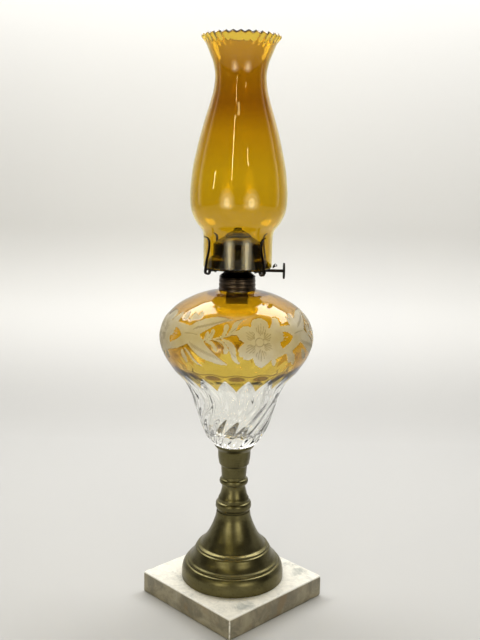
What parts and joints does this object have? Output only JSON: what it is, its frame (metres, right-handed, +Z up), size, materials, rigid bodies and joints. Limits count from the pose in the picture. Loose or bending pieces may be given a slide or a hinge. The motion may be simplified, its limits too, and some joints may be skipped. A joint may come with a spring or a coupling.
{
  "type": "kerosene table lamp",
  "caption": "Tall kerosene table lamp: square marble base, turned brass pedestal, swirled amber and clear glass font, flat-wick burner and crimp-top glass chimney.",
  "frame": {"origin": "centre of the marble base's underside", "axes": "+Z up along the lamp's axis; X and Y along the sides of the square base; the wick winder points along +X+Y"},
  "size_m": [0.1726, 0.1722, 0.6416],
  "materials": {
    "marble": "honed white marble with grey mottle",
    "steel": "dull",
    "pedestal_brass": "aged, olive brown patina",
    "collar_brass": "dark aged",
    "thread_brass": "machined",
    "burner_brass": "blackened, semi-gloss",
    "winder_brass": "blackened",
    "font_glass": "amber flashed over clear, engraved above, swirl ribbed below",
    "chimney_glass": "polished amber",
    "plaster": "matte set plaster",
    "wick_cotton": "woven cotton"
  },
  "bodies": {
    "stand": {"marble_base": "marble", "tie_rod": "steel", "base_washer": "steel", "base_nut": "steel", "foot_bell": "pedestal_brass", "stem": "pedestal_brass", "font_socket": "pedestal_brass", "socket_nut": "steel", "socket_plaster": "plaster", "font": "font_glass", "collar": "collar_brass", "collar_cement": "plaster"},
    "thread": {"burner_thread": "thread_brass"},
    "burner": {"burner_cone": "burner_brass", "gallery_deck": "burner_brass", "air_skirt": "burner_brass", "deflector": "burner_brass", "deflector_cap": "burner_brass", "wick_tube": "burner_brass", "shaft_bracket": "burner_brass", "gallery_lug": "burner_brass", "prong_tail_1": "burner_brass", "prong_tail_2": "burner_brass", "prong_tail_3": "burner_brass", "prong_tail_4": "burner_brass", "prong_rivet_1": "burner_brass", "prong_rivet_2": "burner_brass", "prong_rivet_3": "burner_brass", "prong_rivet_4": "burner_brass"},
    "winder": {"wick_shaft": "winder_brass", "spur_wheel_1": "winder_brass", "spur_wheel_2": "winder_brass", "thumbwheel": "winder_brass"},
    "wick": {"wick": "wick_cotton"},
    "chimney": {"chimney": "chimney_glass"},
    "prong_1": {"prong_1": "burner_brass"},
    "prong_2": {"prong_2": "burner_brass"},
    "prong_3": {"prong_3": "burner_brass"},
    "prong_4": {"prong_4": "burner_brass"}
  },
  "joints": [
    {"name": "burner_rise", "type": "slide", "parent": "stand", "child": "thread", "axis": [0, 0, 1], "range_m": [0, 0.007]},
    {"name": "burner_unscrew", "type": "hinge", "parent": "thread", "child": "burner", "pos_m": [0, 0, 0.38], "axis": [0, 0, 1], "range_deg": [0, 1080]},
    {"name": "wick_knob", "type": "hinge", "parent": "burner", "child": "winder", "pos_m": [0.00424, -0.00424, 0.3915], "axis": [0.7071, 0.7071, 0], "range_deg": [-100, 100]},
    {"name": "wick_lift", "type": "slide", "parent": "burner", "child": "wick", "axis": [0, 0, 1], "range_m": [-0.0078, 0.0078]},
    {"name": "chimney_lift", "type": "slide", "parent": "burner", "child": "chimney", "axis": [0, 0, 1], "range_m": [0, 0.06]},
    {"name": "prong_flex_1", "type": "hinge", "parent": "burner", "child": "prong_1", "pos_m": [-0.00365, -0.04174, 0.3916], "axis": [0.9962, -0.0872, 0], "range_deg": [0, 8], "stiffness_Nm_per_rad": 0.02, "springref_deg": -2.86},
    {"name": "prong_flex_2", "type": "hinge", "parent": "burner", "child": "prong_2", "pos_m": [0.04174, -0.00365, 0.3916], "axis": [0.0872, 0.9962, 0], "range_deg": [0, 8], "stiffness_Nm_per_rad": 0.02, "springref_deg": -2.86},
    {"name": "prong_flex_3", "type": "hinge", "parent": "burner", "child": "prong_3", "pos_m": [0.00365, 0.04174, 0.3916], "axis": [-0.9962, 0.0872, 0], "range_deg": [0, 8], "stiffness_Nm_per_rad": 0.02, "springref_deg": -2.86},
    {"name": "prong_flex_4", "type": "hinge", "parent": "burner", "child": "prong_4", "pos_m": [-0.04174, 0.00365, 0.3916], "axis": [-0.0872, -0.9962, 0], "range_deg": [0, 8], "stiffness_Nm_per_rad": 0.02, "springref_deg": -2.86}
  ],
  "couplings": [
    {"joint": "burner_rise", "follows": "burner_unscrew", "m_per_rad": 0.00036606},
    {"joint": "wick_knob", "follows": "wick_lift", "rad_per_m": 222.22}
  ]
}
